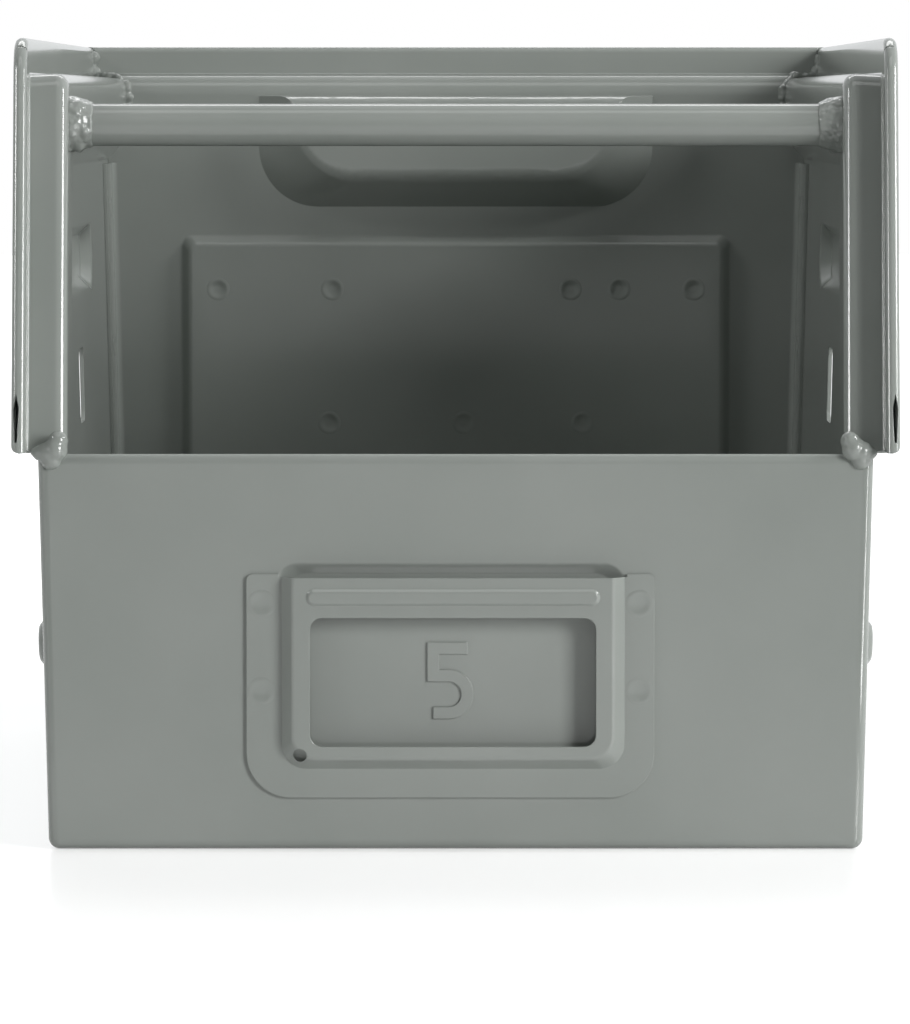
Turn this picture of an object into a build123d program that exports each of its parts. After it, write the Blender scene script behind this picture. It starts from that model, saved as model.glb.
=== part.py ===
from build123d import *
from math import cos, hypot, radians, sqrt, tan
import os

# Open-fronted stacking bin of welded, painted sheet steel.
# Millimetres. +Z is up, the open front looks toward -Y, the bin is centred in X and Y
# and its floor rests on Z = 0.
os.makedirs("parts", exist_ok=True)

# Overall sizes
body_length = 350.0     # front face to the back of the rear rim
top_length = 300.0      # upper front corner of the rim to the back of the rear rim
base_width = 183.6      # over the side walls at the floor
total_height = 183.2
front_height = 89.2     # the pick opening starts here
wall_lean = 1.45        # degrees, each side wall leans outward
sheet = 1.0
bend = 2.5              # outside radius of the folded edges
crest_radius = 2.0      # outside radius along the crest of a pressing
fit = 0.2               # air between parts that only stand next to each other

# Stacking rim: shelf, upright collar and rolled outer edge
neck_set_in = 6.6       # outer face of the wall to the inner face of the neck
neck_drop = 22.0        # shelf to the foot of the stepped neck
neck_step = 6.0         # height of the sloped step itself
shelf_width = 9.0       # inner face of the neck to the collar
shelf_bend = 6.0        # radius of the shelf where the slope turns level
collar_height = 8.5
rear_collar_height = 7.4
hem_width = 3.1
hem_drop = 5.5
crown_flat = 0.1        # flat left between the two bends of a rolled edge
lip_radius = 3.0
lip_leg = 4.0
rear_lip_radius = 5.8
slope_foot = 2.5        # lower end of the sloping rim, behind the front face
foot_gap = 0.6          # front wall's top to the lower end of the sloping rim
foot_corner = 1.6       # round at the outer lower corner of the rolled edge
crown_slit_width = 1.2
crown_slit_inset = 1.15 # outer face of the rolled edge to the middle of the slit
crown_slit_waist = 0.3  # the widest place, as a share of the length from the top
crown_slit_foot = 0.4   # width left at the lower end, as a share
crown_slit_start = 2.8  # lower end of the rolled edge to the slit in its crown
crown_slit_length = 12.2
corner_slit_width = 0.5
corner_slit_drop = 2.5

# Front wall hem and the laps between the sheets
front_hem_drop = 6.0
front_hem_round = 2.3   # the fold's rounding starts this far below its top
front_hem_thickness = 1.7
front_return = 14.0     # front wall folded back along sides and floor
floor_flange = 12.0
rear_flange = 30.0
flange_gap = 1.0        # foot of the neck to the top of the rear wall's flanges

# Beads pressed outward in each side wall, and the divider slot
bead_depth = 3.0
bead_rear_gap = 97.0    # rear wall to the end of both beads
lower_bead_start = 30.0
lower_bead_bottom = 37.0
lower_bead_width = 14.0
upper_bead_setback = 16.0       # behind the top of the slope
upper_bead_drop = 15.5          # foot of the neck to the upper edge
upper_bead_width = 17.0
slot_depth = 175.0      # centre of the slot, behind the front face
slot_drop = 39.5        # upper edge of the upper bead to the centre of the slot
slot_size = (20.0, 18.5)
slot_corner = 3.0

# Carrying bar
bar_diameter = 9.8
bar_setback = 5.0       # bar axis behind the top of the slope
bar_drop = 11.8         # bar axis below the shelf
bar_end_gap = 4.3       # bar end to the neck, bridged by the weld
bar_chamfer = 0.5
bar_weld_radius = 7.4
bar_weld_hollow = 0.4   # how far the fillet weld is dished

# Label holder
holder_offset = -1.2
holder_width = 91.8
holder_bottom = 11.8
holder_height = 50.5
holder_foot_radius = 10.0
holder_top_radius = 1.4
holder_sheet = 0.8
holder_rise = 3.5       # clear space behind the raised face
holder_slope = 3.0
holder_crest = 1.2
holder_side = 6.8
holder_lower_edge = 6.0
holder_face_drop = 0.7  # raised face ends this far below the side tabs
face_shift = 0.6        # raised face sits off the middle of its flange
wall_shift = 0.4        # inward shift of the slope's inner face, keeps the sheet even
window_size = (64.2, 29.0)
window_rise = 26.3      # holder's lower edge to the centre of the window
window_corner = 2.7
rib_size = (66.0, 3.8)
rib_drop = 5.1          # holder's upper edge to the centre of the rib
rib_rise = 0.6
rib_crest = 0.4
drain_inset = (12.1, 9.8)       # from the holder's lower left corner
drain_diameter = 3.0
recess_size = (78.0, 50.0)
recess_depth = 1.5
recess_slope = 2.2
recess_corner = 4.0

# Embossed digit behind the window
digit_width = 10.4
digit_height = 17.3
digit_stroke = 2.7
digit_bowl = 4.2        # centre line radius of the bowl
digit_rise = 0.5

# Rear wall pressings and the plate behind it
grip_half = 53.5
grip_drop = 5.9         # rear shelf to the top of the finger pocket
grip_height = 30.1
grip_depth = 11.0
grip_side_slope = 10.5
grip_floor_slope = 8.0
grip_corner = 16.0
grip_top_corner = 7.0
grip_crest = 5.5        # outside radius around the pocket's floor
panel_half = 74.5
panel_bottom = 20.0
panel_gap = 8.0         # finger pocket to the top of the panel
panel_depth = 3.0
panel_slope = 2.0
plate_sheet = 1.5
plate_side_gap = 4.5    # side of the panel to the plate
plate_top_gap = 6.0     # top of the panel to the plate
plate_band_height = 22.0
plate_height = 55.0
plate_tongue_half = 42.0
plate_corner = 5.0

# Welds
spot_diameter = 4.5
side_floor_spots = 5
cross_spots = 4
front_seam_spots = 3
rear_seam_spots = 4
spot_margin = 12.0      # end of a row of spots to the end of its seam
cross_margin = 31.8
floor_margin = 26.0
holder_spot_heights = (24.1, 43.8)      # above the holder's lower edge
plate_upper_spot_drop = 8.4
plate_lower_spot_rise = 10.2
plate_end_spot_inset = 5.3
plate_tongue_spot_inset = 7.5
plate_upper_inner_spots = (-33.6, 31.1, 44.4)
plate_lower_middle_spot = 2.2
front_corner_weld_half = (4.1, 2.6, 4.5)
front_corner_weld_rise = 0.6
rear_seam_radius = 1.6
rear_seam_knot = 1.8
rear_seam_gap = 0.3       # kept clear round the mitre's foot
almost_half = 0.49        # a corner radius stays just under half a side

# Derived
lean = tan(radians(wall_lean))
base_half = base_width / 2
shelf_z = total_height - collar_height
rear_shelf_z = total_height - rear_collar_height
rear_lip_leg = rear_lip_radius + lip_leg - lip_radius
upright_mouth = base_half - neck_set_in
upright_collar = upright_mouth + shelf_width
lean_reach = shelf_z * lean      # outward travel of the leaning wall at shelf level
mouth_half = upright_mouth + lean_reach
collar_half = upright_collar + lean_reach
rim_half = collar_half + hem_width
slope_top = body_length - top_length
foot_z = front_height + foot_gap
slope_run = slope_top - slope_foot
slope_rise = shelf_z - foot_z
slope_length = hypot(slope_run, slope_rise)
slope_sin = slope_run / slope_length
slope_cos = slope_rise / slope_length
tip_depth = slope_foot - collar_height / slope_cos
front_y = -(body_length + tip_depth) / 2
rear_collar = body_length - hem_width
rear_inner = rear_collar - shelf_width
rear_outer = rear_inner + sheet
neck_foot_z = shelf_z - neck_drop
upper_bead_top = neck_foot_z - upper_bead_drop
slot_height = upper_bead_top - slot_drop
bar_depth = slope_top + bar_setback
bar_height = shelf_z - bar_drop
bar_reach = upright_mouth + bar_height * lean - bar_end_gap
holder_top = holder_bottom + holder_height
window_centre = holder_bottom + window_rise
grip_top = rear_shelf_z - grip_drop
grip_bottom = grip_top - grip_height
panel_top = grip_bottom - panel_gap
plate_half = panel_half - plate_side_gap
plate_top = panel_top - plate_top_gap
plate_bottom = plate_top - plate_height
flange_low = floor_flange + bend
flange_high = neck_foot_z - flange_gap
pin_reach = 3 * sheet + bead_depth


def at(depth):
    """Y of a point so far behind the front face."""
    return front_y + depth


def wall_half(height, inset=0.0):
    """Half width over the side walls at a height, less an inset."""
    return base_half + height * lean - inset / cos(radians(wall_lean))


def facing_front(depth):
    """Plane across the bin that looks toward the front."""
    return Plane.XZ.offset(-at(depth))


def body_section(inset, low, high):
    """Cross-section of the leaning body between two heights."""
    low_half = wall_half(low, inset)
    high_half = wall_half(high, inset)
    corners = [(-low_half, low), (low_half, low), (high_half, high), (-high_half, high)]
    with BuildSketch() as section:
        with BuildLine():
            Polyline(*corners, close=True)
        make_face()
    return section.sketch


def body_block(inset, low, high, start, end):
    """Solid with the body's leaning sides, from one depth to another."""
    with BuildPart() as block:
        with BuildSketch(facing_front(start)):
            add(body_section(inset, low, high))
        extrude(amount=start - end)
    return block.part


def pressed_pad(plane, centre, size, rise, slope, corner, crest):
    """Rounded pad that narrows as it rises from a plane, with a rounded crest."""
    top_size = (size[0] - 2 * slope, size[1] - 2 * slope)
    with BuildPart() as pad:
        with BuildSketch(plane):
            with Locations(centre):
                RectangleRounded(*size, min(corner, almost_half * min(size)))
        with BuildSketch(plane.offset(rise)):
            with Locations(centre):
                RectangleRounded(*top_size, min(corner, almost_half * min(top_size)))
        loft(ruled=True)
        upward = Axis(plane.origin, plane.z_dir * (1 if rise > 0 else -1))
        fillet(pad.faces().sort_by(upward)[-1].edges(), radius=crest)
    return pad.part


def creases(block, axis, level, along, across):
    """Edges of a block on one level of an axis, within a range of each other axis."""
    first, second = [other for other in (Axis.X, Axis.Y, Axis.Z) if other != axis]
    edges = block.edges().filter_by_position(axis, level - fit / 10, level + fit / 10)
    return edges.filter_by_position(first, *along).filter_by_position(second, *across)


def rim_section(lip, collar, radius, height):
    """Lip, shelf, collar and rolled edge; shelf level is zero."""
    leg = radius + lip_leg - lip_radius
    outer = collar + hem_width
    crown = (hem_width - crown_flat) / 2
    inner_crown = crown - sheet
    roll_end = collar + sheet + fit
    roll_low = height - hem_drop
    points = [
        (lip, -leg), (lip, 0), (collar, 0), (collar, height), (outer, height),
        (outer, roll_low), (roll_end, roll_low), (roll_end, roll_low + sheet),
        (outer - sheet, roll_low + sheet), (outer - sheet, height - sheet),
        (collar + sheet, height - sheet), (collar + sheet, -sheet),
        (lip + sheet, -sheet), (lip + sheet, -leg),
    ]
    radii = [
        0, radius, sheet / 2, crown, crown, crown, 0, 0,
        inner_crown, inner_crown, inner_crown, 3 * sheet / 2, radius - sheet, 0,
    ]
    with BuildSketch() as section:
        with BuildLine():
            FilletPolyline(*points, radius=radii, close=True)
        make_face()
    return section.sketch


def weld_pins(plane, places, reach=pin_reach):
    """Round pins that stand for spot welds, one at each place."""
    with BuildPart() as pins:
        with BuildSketch(plane):
            with Locations(*places):
                Circle(spot_diameter / 2)
        extrude(amount=reach, both=True)
    return pins.part


def spread(low, high, count):
    """Evenly spaced values from low to high."""
    return [low + (high - low) * place / (count - 1) for place in range(count)]


# Spot weld places
floor_spot_z = (bend + floor_flange) / 2
return_middle = (bend + front_return) / 2
floor_spot_depths = spread(front_return + floor_margin, rear_inner - floor_margin - spot_margin,
                           side_floor_spots)
front_seam_heights = spread(bend + spot_margin, front_height - 2 * spot_margin, front_seam_spots)
rear_seam_heights = spread(flange_low + spot_margin, flange_high - spot_margin, rear_seam_spots)
cross_places = spread(cross_margin - base_half, base_half - cross_margin, cross_spots)
floor_side_places = [(at(depth), floor_spot_z) for depth in floor_spot_depths]
front_seam_places = [(at(return_middle), height) for height in front_seam_heights]
rear_seam_places = [(at(rear_outer - rear_flange / 2), height) for height in rear_seam_heights]
holder_places = [
    (holder_offset + side * (holder_width - holder_side) / 2, holder_bottom + height)
    for side in (-1, 1) for height in holder_spot_heights
]
plate_end = plate_half - plate_end_spot_inset
tongue_end = plate_tongue_half - plate_tongue_spot_inset
plate_upper_row = (-plate_end, *plate_upper_inner_spots, plate_end)
plate_lower_row = (-tongue_end, plate_lower_middle_spot, tongue_end)
plate_places = [(x, plate_top - plate_upper_spot_drop) for x in plate_upper_row]
plate_places += [(x, plate_bottom + plate_lower_spot_rise) for x in plate_lower_row]

side_floor_pins = weld_pins(Plane.YZ, floor_side_places, rim_half)
front_seam_pins = weld_pins(Plane.YZ, front_seam_places, rim_half)
rear_seam_pins = weld_pins(Plane.YZ, rear_seam_places, rim_half)
front_floor_pins = weld_pins(Plane.XY, [(x, at(return_middle)) for x in cross_places])
rear_floor_pins = weld_pins(facing_front(rear_inner), [(x, floor_spot_z) for x in cross_places])
holder_pins = weld_pins(facing_front(0), holder_places, 2 * sheet)
plate_pins = weld_pins(facing_front(rear_inner), plate_places)

# Front wall: a shallow pan folded back at both sides and below, hemmed along the top
front_solid = body_block(0, 0, front_height, 0, front_return)
front_hollow = body_block(sheet, sheet, 2 * front_height, sheet, 2 * front_return)


def round_front(block, radius):
    """Round the front outline of a block and its two lower corners."""
    with BuildPart() as rounded:
        add(block)
        outline = rounded.edges().group_by(Axis.Y)[0].sort_by(Axis.Z)[:-1]
        lower = rounded.edges().filter_by(Axis.Y).group_by(Axis.Z)[0]
        fillet(outline + lower, radius=radius)
    return rounded.part


recess_centre = (holder_offset, holder_top + recess_slope - recess_size[1] / 2)
recess_outside = (recess_size[0] + 2 * sheet, recess_size[1] + 2 * sheet)
with BuildPart() as front_blank:
    add(round_front(front_solid, bend))
    add(round_front(front_hollow, bend - sheet), mode=Mode.SUBTRACT)
    # The top edge is folded back on itself; the fold stops short of the side returns.
    with BuildSketch(Plane.YZ):
        with BuildLine():
            hem_middle = at(sheet / 2)
            hem_back = at(sheet / 2 + front_hem_thickness)
            hem_foot = front_height - front_hem_drop
            hem_points = [
                (hem_middle, hem_foot), (hem_middle, front_height),
                (hem_back, front_height), (hem_back, hem_foot),
            ]
            FilletPolyline(*hem_points, radius=[0, 0, sheet, 0], close=True)
        make_face()
    extrude(amount=wall_half(hem_foot, bend + sheet), both=True)
    # The fold rounds the front face back toward its top
    with BuildSketch(Plane.YZ):
        with BuildLine():
            round_start = (at(0), front_height - front_hem_round)
            round_end = (at(sheet), front_height)
            TangentArc(round_start, round_end, tangent=(0, 1))
            Polyline(round_end, (at(sheet), front_height + sheet), (at(-sheet), front_height + sheet),
                     (at(-sheet), front_height - front_hem_round), round_start)
        make_face()
    extrude(amount=rim_half, both=True, mode=Mode.SUBTRACT)
    # Shallow recess behind the label holder
    add(pressed_pad(facing_front(sheet), recess_centre, recess_outside,
                    -recess_depth, recess_slope, recess_corner, crest_radius - sheet / 2))
    add(pressed_pad(facing_front(0), recess_centre, recess_size,
                    -recess_depth, recess_slope, recess_corner, sheet / 2), mode=Mode.SUBTRACT)
    recess_range = (
        (recess_centre[0] - recess_size[0] / 2 - bend, recess_centre[0] + recess_size[0] / 2 + bend),
        (recess_centre[1] - recess_size[1] / 2 - bend, recess_centre[1] + recess_size[1] / 2 + bend),
    )
    fillet(creases(front_blank, Axis.Y, at(0), *recess_range), radius=crest_radius - sheet / 2)
    fillet(creases(front_blank, Axis.Y, at(sheet), *recess_range), radius=sheet / 2)
    # Plain digit, raised from the floor of the recess
    with BuildSketch(facing_front(recess_depth)):
        with BuildLine():
            half = (digit_width - digit_stroke) / 2
            top = window_centre + (digit_height - digit_stroke) / 2
            foot = window_centre - (digit_height - digit_stroke) / 2
            right = holder_offset + half
            left = holder_offset - half
            shoulder = foot + 2 * digit_bowl
            bowl_start = (right - digit_bowl, shoulder)
            bowl_end = (right - digit_bowl, foot)
            Polyline((right, top), (left, top), (left, shoulder), bowl_start)
            ThreePointArc(bowl_start, (right, foot + digit_bowl), bowl_end)
            Line(bowl_end, (left, foot))
        trace(line_width=digit_stroke)
    extrude(amount=digit_rise)

with BuildPart() as front_wall:
    add(front_blank.part)
    add(front_seam_pins, mode=Mode.SUBTRACT)
    add(front_floor_pins, mode=Mode.SUBTRACT)
    add(holder_pins, mode=Mode.SUBTRACT)

# Floor pan: upturned at the sides and the rear, front strip lapped onto the front wall's return
floor_start = front_return + fit
strip_end = front_return + 2 * sheet
floor_block = body_block(sheet, 0, floor_flange, floor_start, rear_inner)
floor_cavity = body_block(2 * sheet, sheet, 2 * floor_flange, 0, rear_inner - sheet)
with BuildPart() as floor_tub:
    add(floor_block)
    fillet(floor_tub.edges().filter_by(Axis.Y).group_by(Axis.Z)[0], radius=bend)
    fillet(floor_tub.edges().group_by(Axis.Y)[-1].sort_by(Axis.Z)[:1], radius=bend)
with BuildPart() as floor_inside:
    add(floor_cavity)
    fillet(floor_inside.edges().filter_by(Axis.Y).group_by(Axis.Z)[0], radius=bend - sheet)
    fillet(floor_inside.edges().group_by(Axis.Y)[-1].sort_by(Axis.Z)[:1], radius=bend - sheet)
with BuildPart() as floor_blank:
    add(floor_tub.part)
    add(floor_inside.part, mode=Mode.SUBTRACT)
    # Corner reliefs between the rear and the side flanges
    with BuildSketch(Plane.XY.offset(bend)):
        with Locations((-wall_half(0, sheet), at(rear_inner)), (wall_half(0, sheet), at(rear_inner))):
            Rectangle(4 * bend, 4 * bend)
    extrude(amount=floor_flange, mode=Mode.SUBTRACT)
    # Side flanges start behind the laps of the side walls
    with BuildSketch(Plane.XY.offset(bend)):
        with Locations((0, at(floor_start))):
            Rectangle(2 * base_width, 4 * sheet + 2 * fit)
    extrude(amount=floor_flange, mode=Mode.SUBTRACT)
    strip_half = wall_half(0, 2 * sheet + bend)
    strip_front = sheet + bend
    with Locations((0, at((strip_front + strip_end) / 2), 1.5 * sheet)):
        Box(2 * strip_half, strip_end - strip_front, sheet)

with BuildPart() as floor_pan:
    add(floor_blank.part)
    add(side_floor_pins, mode=Mode.SUBTRACT)
    add(rear_floor_pins, mode=Mode.SUBTRACT)
    add(front_floor_pins, mode=Mode.SUBTRACT)

# Side wall: one pressing, drawn upright on the left and then leaned outward about its foot
foot_plane = Plane(
    origin=(0, at(slope_foot), foot_z), x_dir=(-1, 0, 0), z_dir=(0, slope_sin, slope_cos)
)
plate_front = front_return + fit
ramp_start = neck_drop - neck_step
ramp_slope = (neck_set_in - sheet) / neck_step
ramp_reach = neck_set_in + sheet
above_shelf = 2 * sheet
corner_shift = sheet * (hypot(ramp_slope, 1) - 1) / ramp_slope


def rim_path(rear_end, radius=0):
    """Line of the shelf: up the slope, then level to the rear."""
    corners = [(at(slope_foot), foot_z), (at(slope_top), shelf_z), (at(rear_end), shelf_z)]
    with BuildLine(Plane.YZ) as path:
        if radius:
            FilletPolyline(*corners, radius=radius)
        else:
            Polyline(*corners)
    return path.line


def neck_points(offset):
    """Face line of the neck: 0 is its inner face, 1 its outer face."""
    turn = ramp_start - offset * corner_shift
    face = upright_mouth + offset * sheet
    return [(face, -lip_leg), (face, -turn), (face + ramp_reach, -turn - ramp_reach / ramp_slope)]


def upright_panel(x, start, end, low, high):
    """Flat sheet standing along the side of the bin."""
    with BuildPart() as panel:
        with BuildSketch(Plane.YZ.offset(x)):
            with Locations((at((start + end) / 2), (low + high) / 2)):
                Rectangle(end - start, high - low)
        extrude(amount=sheet)
    return panel.part


def side_space(x):
    """Everything on the inner side of an upright plane."""
    with BuildPart() as space:
        with BuildSketch(Plane.YZ.offset(x)):
            Rectangle(4 * body_length, 4 * total_height)
        extrude(amount=4 * rim_half)
    return space.part


def wall_bead(x, start, low, width, crest):
    """One horizontal bead with round ends, pressed outward from an upright plane."""
    end = rear_inner - bead_rear_gap
    plane = Plane(origin=(x, 0, 0), x_dir=(0, -1, 0), z_dir=(-1, 0, 0))
    centre = (-at((start + end) / 2), low + width / 2)
    return pressed_pad(plane, centre, (end - start, width), bead_depth, bead_depth, width / 2,
                       crest)


upright_rim = rim_section(upright_mouth, upright_collar, lip_radius, collar_height)
with BuildPart() as rim_run:
    with BuildSketch(foot_plane):
        add(upright_rim)
    sweep(path=rim_path(body_length + hem_width, shelf_bend))

# Below the foot of the shelf the collar and its rolled edge run on to a level cut
foot_reach = collar_height * slope_sin / slope_cos
with BuildPart() as rim_foot:
    with BuildSketch(foot_plane):
        add(upright_rim)
    extrude(amount=-foot_reach - sheet)
    split(bisect_by=Plane.XY.offset(foot_z), keep=Keep.TOP)

# Slit in the crown of the rolled edge, where the sheet was folded past its relief cut
crown_plane = Plane(
    origin=(0, at(slope_foot), foot_z), x_dir=(-1, 0, 0), z_dir=(0, -slope_cos, slope_sin)
)
with BuildPart() as crown_slit:
    with BuildSketch(crown_plane.offset(collar_height - 2 * sheet)):
        with BuildLine():
            slit_x = upright_collar + hem_width - crown_slit_inset
            slit_low = foot_reach - crown_slit_start
            slit_high = slit_low - crown_slit_length
            slit_waist = slit_high + crown_slit_waist * crown_slit_length
            slit_half = crown_slit_width / 2
            slit_end = crown_slit_foot * slit_half
            Polyline(
                (slit_x - slit_end, slit_low), (slit_x + slit_end, slit_low),
                (slit_x + slit_half, slit_waist), (slit_x, slit_high),
                (slit_x - slit_half, slit_waist), close=True
            )
        make_face()
    extrude(amount=3 * sheet)

# Open slit where the rolled edge turns from the slope to the level
corner_plane = Plane(
    origin=(0, at(slope_top), shelf_z), x_dir=(-1, 0, 0), z_dir=(0, 1 + slope_sin, slope_cos)
)
with BuildPart() as corner_slit:
    with BuildSketch(corner_plane):
        crown_reach = collar_height + shelf_bend - shelf_bend / sqrt((1 + slope_sin) / 2)
        with Locations((upright_collar + hem_width / 4, crown_reach)):
            Rectangle(hem_width / 2 + sheet, 2 * corner_slit_drop)
    extrude(amount=corner_slit_width / 2, both=True)

with BuildPart() as neck_run:
    with BuildSketch(foot_plane):
        with BuildLine():
            Polyline(*neck_points(0), *reversed(neck_points(1)), close=True)
        make_face()
    sweep(path=rim_path(rear_inner), transition=Transition.RIGHT)
    add(side_space(-base_half), mode=Mode.INTERSECT)

# Space above the stepped neck, where the plate is cut away
with BuildPart() as above_neck:
    with BuildSketch(foot_plane):
        with BuildLine():
            middle = neck_points(0.5)
            inward = upright_mouth - neck_drop
            Polyline(
                (inward, above_shelf), (inward, middle[1][1]), middle[1], middle[2],
                (middle[2][0], above_shelf), close=True
            )
        make_face()
    sweep(path=rim_path(body_length + hem_width), transition=Transition.RIGHT)

# A small cap closes the lower end of the neck behind the front wall.
with BuildPart() as foot_cap:
    with BuildSketch(foot_plane):
        with BuildLine():
            middle = neck_points(0.5)
            Polyline(
                (upright_mouth, -lip_leg), (upright_mouth, middle[1][1]), middle[2],
                (middle[2][0], -lip_leg), close=True
            )
        make_face()
    extrude(amount=-sheet)
    add(side_space(sheet - base_half), mode=Mode.INTERSECT)

with BuildPart() as below_slope:
    with BuildSketch(Plane.YZ):
        with BuildLine():
            Polyline(
                (at(0), 0), (at(body_length), 0), (at(body_length), shelf_z),
                (at(slope_top), shelf_z), (at(slope_foot), foot_z),
                (at(0), foot_z + slope_foot * slope_sin / slope_cos), close=True
            )
        make_face()
    extrude(amount=-4 * rim_half)

with BuildPart() as upright_wall:
    add(upright_panel(-base_half, plate_front, rear_outer, bend, shelf_z - sheet))
    # Joggled strip that tucks inside the front wall's return
    add(upright_panel(sheet - base_half, sheet + bend, plate_front + 2 * sheet,
                      sheet + bend, front_height))
    add(below_slope.part, mode=Mode.INTERSECT)
    add(above_neck.part, mode=Mode.SUBTRACT)
    for bead in (
        (lower_bead_start, lower_bead_bottom, lower_bead_width),
        (slope_top + upper_bead_setback, upper_bead_top - upper_bead_width, upper_bead_width),
    ):
        add(wall_bead(-base_half, *bead, crest_radius))
        add(wall_bead(sheet - base_half, *bead, crest_radius - sheet), mode=Mode.SUBTRACT)
        bead_range = (
            (at(bead[0] - sheet), at(rear_inner - bead_rear_gap + sheet)),
            (bead[1] - sheet, bead[1] + bead[2] + sheet),
        )
        fillet(creases(upright_wall, Axis.X, -base_half, *bead_range), radius=crest_radius - sheet)
        fillet(creases(upright_wall, Axis.X, sheet - base_half, *bead_range), radius=crest_radius)
    # Slot for a divider
    with BuildSketch(Plane.YZ.offset(-base_half)):
        with Locations((at(slot_depth), slot_height)):
            RectangleRounded(*slot_size, slot_corner)
    extrude(amount=2 * sheet, both=True, mode=Mode.SUBTRACT)
    add(neck_run.part)
    add(rim_run.part)
    add(rim_foot.part)
    add(foot_cap.part)
    add(crown_slit.part, mode=Mode.SUBTRACT)
    add(corner_slit.part, mode=Mode.SUBTRACT)

lean_outward = Pos(-base_half, 0, 0) * Rot(0, -wall_lean, 0) * Pos(base_half, 0, 0)
leaned_wall = lean_outward * upright_wall.part
mitre_size = 4 * rim_half
with BuildPart() as side_blank:
    add(leaned_wall)
    # Mitre at the rear corner
    with BuildSketch(Plane.XY.offset(shelf_z - neck_drop)):
        with BuildLine():
            Polyline(
                (-collar_half + mitre_size, at(rear_collar - mitre_size)),
                (-collar_half - mitre_size, at(rear_collar + mitre_size)),
                (-collar_half + mitre_size, at(rear_collar + mitre_size)), close=True
            )
        make_face()
    extrude(amount=2 * neck_drop + collar_height, mode=Mode.SUBTRACT)
    # The outer lower corner of the rolled edge is round
    foot_edge = upright_collar + hem_width + foot_z * lean
    with BuildSketch(facing_front(tip_depth)):
        with Locations((-foot_edge, foot_z)):
            Rectangle(2 * foot_corner, 2 * foot_corner)
        with Locations((foot_corner - foot_edge, foot_z + foot_corner)):
            Circle(foot_corner, mode=Mode.SUBTRACT)
            Rectangle(2 * foot_corner, foot_corner, align=(Align.MIN, Align.CENTER),
                      mode=Mode.SUBTRACT)
    extrude(amount=-4 * hem_drop, mode=Mode.SUBTRACT)
    # The rolled edge ends level with the back of the rear rim
    with BuildSketch(facing_front(body_length)):
        Rectangle(4 * rim_half, 4 * total_height)
    extrude(amount=-mitre_size, mode=Mode.SUBTRACT)

with BuildPart() as left_side_wall:
    add(side_blank.part)
    add(side_floor_pins, mode=Mode.SUBTRACT)
    add(front_seam_pins, mode=Mode.SUBTRACT)
    add(rear_seam_pins, mode=Mode.SUBTRACT)
with BuildPart() as right_side_wall:
    add(left_side_wall.part)
    mirror(about=Plane.YZ, mode=Mode.REPLACE)

# Rear wall: plate with forward flanges, pressed panel and grip pocket, and the rear rim
rear_rim_section = rim_section(rear_inner, rear_collar, rear_lip_radius, rear_collar_height)
rear_face = facing_front(rear_inner)
rear_low = bend
rear_high = rear_shelf_z - rear_lip_leg
flange_front = rear_outer - rear_flange


def grip_block(inset, start, crest):
    """Finger pocket under the rear rim, narrowing as it enters the bin."""
    outer_half = grip_half - inset
    inner_half = outer_half - grip_side_slope
    low = grip_bottom + inset
    high = grip_top - inset
    floors = ((start, outer_half, low), (start + grip_depth, inner_half, low + grip_floor_slope))
    with BuildPart() as block:
        for distance, half_width, bottom in floors:
            with BuildSketch(rear_face.offset(distance)) as outline:
                with Locations((0, (bottom + high) / 2)):
                    Rectangle(2 * half_width, high - bottom)
                lower = outline.vertices().group_by(Axis.Y)[0]
                upper = outline.vertices().group_by(Axis.Y)[-1]
                fillet(lower, radius=grip_corner - inset)
                fillet(upper, radius=grip_top_corner - inset)
        loft(ruled=True)
        fillet(block.faces().sort_by(Axis.Y)[0].edges(), radius=crest)
    return block.part


panel_centre = (0, (panel_bottom + panel_top) / 2)
panel_size = (2 * panel_half, panel_top - panel_bottom)
with BuildPart() as rear_plate:
    add(body_block(sheet, rear_low, rear_high, rear_inner, rear_outer))
with BuildPart() as rear_flanges:
    add(body_block(sheet, flange_low, flange_high, flange_front, rear_outer))
    fillet(rear_flanges.edges().group_by(Axis.Y)[-1].filter_by(Axis.X, reverse=True), radius=bend)
with BuildPart() as rear_flange_gap:
    add(body_block(2 * sheet, 0, total_height, 0, rear_inner))
    fillet(rear_flange_gap.edges().group_by(Axis.Y)[-1].filter_by(Axis.X, reverse=True),
           radius=bend - sheet)
with BuildPart() as rear_shell:
    add(rear_flanges.part)
    add(rear_flange_gap.part, mode=Mode.SUBTRACT)
with BuildPart() as rear_rim_run:
    rear_rim_plane = Plane(
        origin=(-rim_half - bend, at(0), rear_shelf_z), x_dir=(0, 1, 0), z_dir=(1, 0, 0)
    )
    with BuildSketch(rear_rim_plane):
        add(rear_rim_section)
    extrude(amount=2 * (rim_half + bend))
    with BuildSketch(Plane.XY.offset(shelf_z - neck_drop)) as rear_mitre:
        with BuildLine():
            Polyline(
                (0, at(rear_collar - collar_half)),
                (mitre_size, at(rear_collar - collar_half + mitre_size)),
                (-mitre_size, at(rear_collar - collar_half + mitre_size)), close=True
            )
        make_face()
    extrude(amount=2 * neck_drop + collar_height, mode=Mode.INTERSECT)
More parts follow.
